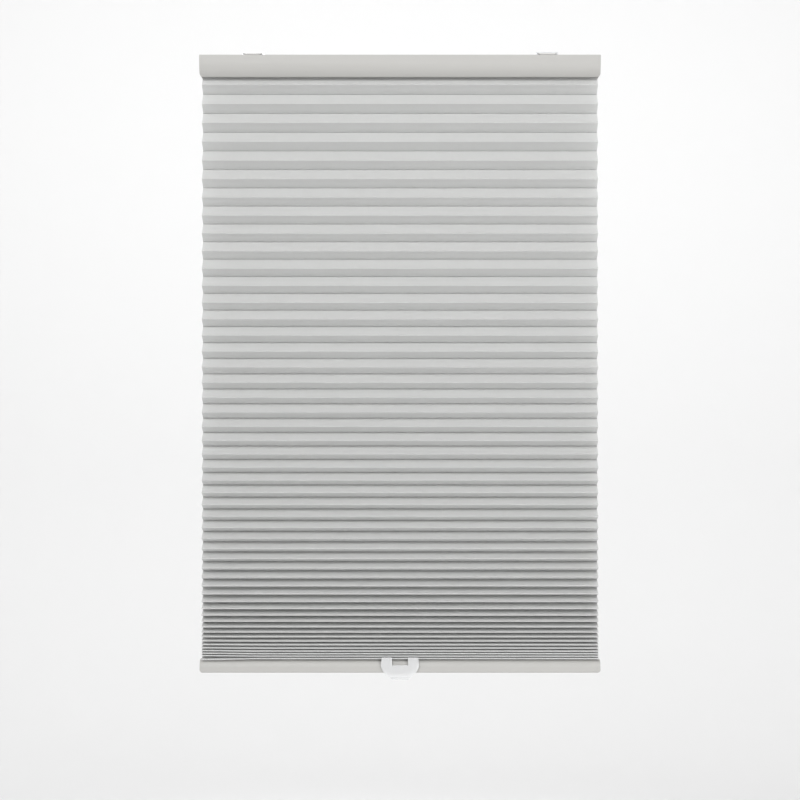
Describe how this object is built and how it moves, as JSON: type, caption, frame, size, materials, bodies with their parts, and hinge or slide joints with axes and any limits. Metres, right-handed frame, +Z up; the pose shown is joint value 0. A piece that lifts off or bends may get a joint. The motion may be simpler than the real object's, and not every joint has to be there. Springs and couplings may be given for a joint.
{
  "type": "pleated blind",
  "caption": "Cordless honeycomb pleated blind: grey fabric hung between an open-topped headrail and a weighted bottom rail with a clear lift handle.",
  "frame": {"origin": "middle of the four bracket screw holes, on the face that the brackets are screwed to", "axes": "+X along the width, -Y towards the room, +Z up; the blind hangs below the origin"},
  "size_m": [0.6, 0.0544, 0.937],
  "materials": {
    "rail_enamel": "satin grey enamel",
    "cap_plastic": "satin moulded, matched to the rails",
    "strip_plastic": "extruded plastic",
    "grey_fabric": "non-woven polyester, pleated",
    "shaft_steel": "zinc plated",
    "acetal": "moulded acetal",
    "cradle_plastic": "moulded plastic",
    "cord": "braided polyester",
    "spring_steel": "polished spring steel",
    "bracket_zinc": "zinc plated sheet",
    "weight_steel": "black rolled steel",
    "clear_plastic": "clear moulded polycarbonate"
  },
  "bodies": {
    "headrail_body": {"headrail": "rail_enamel", "headrail_end_cap_left": "cap_plastic", "headrail_end_cap_right": "cap_plastic", "top_fabric_strip": "strip_plastic", "honeycomb_fabric": "grey_fabric", "spool_cradle_left": "cradle_plastic", "spool_cradle_right": "cradle_plastic", "cord_grommet_left": "acetal", "cord_grommet_right": "acetal", "lift_cord_left": "cord", "lift_cord_right": "cord", "storage_drum_pin": "shaft_steel", "power_spring": "spring_steel", "motor_frame": "cradle_plastic", "motor_cover": "bracket_zinc", "motor_cover_screws": "shaft_steel", "mounting_bracket_left": "bracket_zinc", "mounting_bracket_right": "bracket_zinc"},
    "bottom_rail_body": {"bottom_rail": "rail_enamel", "bottom_rail_end_cap_left": "cap_plastic", "bottom_rail_end_cap_right": "cap_plastic", "bottom_fabric_strip": "strip_plastic", "cord_anchor_left": "acetal", "cord_anchor_right": "acetal", "weight_bar": "weight_steel", "lift_handle": "clear_plastic"},
    "lift_shaft_body": {"lift_shaft": "shaft_steel", "cord_spool_left": "acetal", "cord_spool_right": "acetal", "output_drum": "acetal"},
    "storage_drum_body": {"storage_drum": "acetal"},
    "latch_left_body": {"bracket_latch_left": "acetal"},
    "latch_right_body": {"bracket_latch_right": "acetal"}
  },
  "joints": [
    {"name": "lift", "type": "slide", "parent": "headrail_body", "child": "bottom_rail_body", "axis": [0, 0, 1], "range_m": [0, 0.79], "deforming": ["honeycomb_fabric", "lift_cord_left", "lift_cord_right"]},
    {"name": "shaft_spin", "type": "hinge", "parent": "headrail_body", "child": "lift_shaft_body", "pos_m": [0, 0.007, -0.016], "axis": [1, 0, 0], "range_deg": [-6480, 0]},
    {"name": "storage_spin", "type": "hinge", "parent": "headrail_body", "child": "storage_drum_body", "pos_m": [0, -0.013, -0.016], "axis": [1, 0, 0], "range_deg": [0, 7080], "deforming": ["power_spring"]},
    {"name": "latch_left", "type": "slide", "parent": "headrail_body", "child": "latch_left_body", "axis": [0, 1, 0], "range_m": [0, 0.004], "stiffness_N_per_m": 300},
    {"name": "latch_right", "type": "slide", "parent": "headrail_body", "child": "latch_right_body", "axis": [0, 1, 0], "range_m": [0, 0.004], "stiffness_N_per_m": 300}
  ],
  "couplings": [
    {"joint": "shaft_spin", "follows": "lift", "rad_per_m": -142.86},
    {"joint": "storage_spin", "follows": "lift", "rad_per_m": 155.5}
  ]
}
